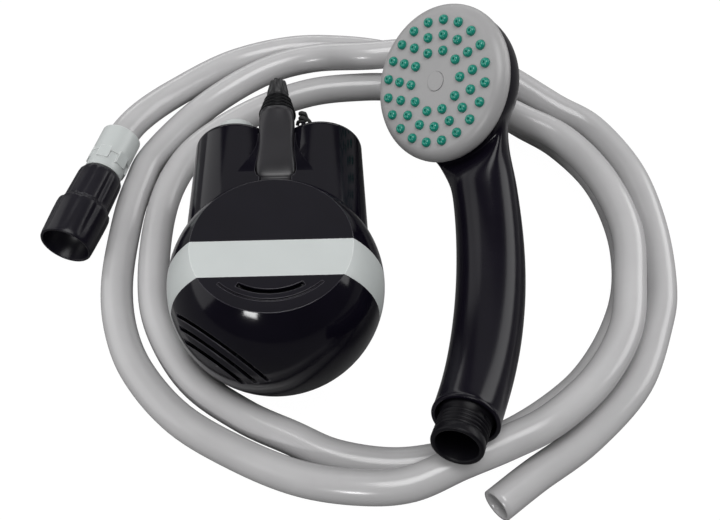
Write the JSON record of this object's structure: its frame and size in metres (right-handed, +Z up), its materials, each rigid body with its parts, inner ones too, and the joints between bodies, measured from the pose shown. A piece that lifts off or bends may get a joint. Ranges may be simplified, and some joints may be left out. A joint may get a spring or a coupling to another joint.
{
  "type": "camp shower pump",
  "caption": "Battery camp shower pump with a round strainer end and battery tubes, a coiled hose with a screw coupling, and a shower handset.",
  "frame": {"origin": "middle of the pump's flat rest face, under the centre of its round end", "axes": "+Y along the pump from its round end to the hose spigot, +Z up out of its flat front"},
  "size_m": [0.265, 0.2477, 0.0839],
  "materials": {
    "housing": "glossy black moulded plastic",
    "handset": "glossy black moulded plastic",
    "pale": "pale grey moulded plastic",
    "satin": "dark grey satin plastic",
    "inner_plastic": "dark grey moulded plastic",
    "rubber": "black rubber",
    "cord": "black braided cord",
    "hose": "grey soft vinyl, half gloss",
    "nozzle": "teal green rubber",
    "steel": "bare steel",
    "copper": "wound armature",
    "magnet": "grey ferrite",
    "cell": "wrapped battery cell"
  },
  "bodies": {
    "pump": {"front_housing": "housing", "rear_housing": "housing", "band_ring": "pale", "strainer_bowl": "housing", "intake_screen": "steel", "volute": "inner_plastic", "wet_bulkhead": "inner_plastic", "shaft_seal": "rubber", "motor_can": "steel", "motor_magnets": "magnet", "motor_end_cap": "inner_plastic", "battery_bulkhead": "inner_plastic", "battery_cell_left": "cell", "battery_cell_right": "cell", "contact_plates_lower": "steel", "contact_plates_upper": "steel", "discharge_tube": "inner_plastic", "outlet_connector": "satin", "spigot_sleeve": "rubber", "hose_spigot": "satin", "lanyard_loop": "cord", "hose": "hose", "hose_collar": "pale", "hose_tail": "housing"},
    "rotor": {"impeller": "inner_plastic", "motor_shaft": "steel", "motor_rotor": "copper"},
    "door": {"battery_door": "housing"},
    "button": {"power_button": "pale"},
    "nut": {"coupling_nut": "housing", "coupling_washer": "rubber"},
    "handset": {"handset_body": "handset", "face_plate": "pale", "nozzle_mat": "nozzle", "centre_plug": "pale", "face_screw": "steel", "face_seal": "rubber", "flow_disc": "inner_plastic", "inlet_thread": "handset"}
  },
  "joints": [
    {"name": "impeller_spin", "type": "hinge", "parent": "pump", "child": "rotor", "pos_m": [0, -0.02, 0.032], "axis": [0, 1, 0], "continuous": true},
    {"name": "battery_door_slide", "type": "slide", "parent": "pump", "child": "door", "axis": [0, 1, 0], "range_m": [0, 0.05]},
    {"name": "power_button_press", "type": "slide", "parent": "pump", "child": "button", "axis": [0, -1, 0], "range_m": [0, 0.002], "stiffness_N_per_m": 900},
    {"name": "coupling_nut_spin", "type": "hinge", "parent": "pump", "child": "nut", "pos_m": [-0.0716, 0.0924, 0.016], "axis": [-0.2822, -0.9594, 0], "continuous": true},
    {"name": "handset_lift", "type": "slide", "parent": "pump", "child": "handset", "axis": [0, 0, 1], "range_m": [0, 0.12]}
  ]
}
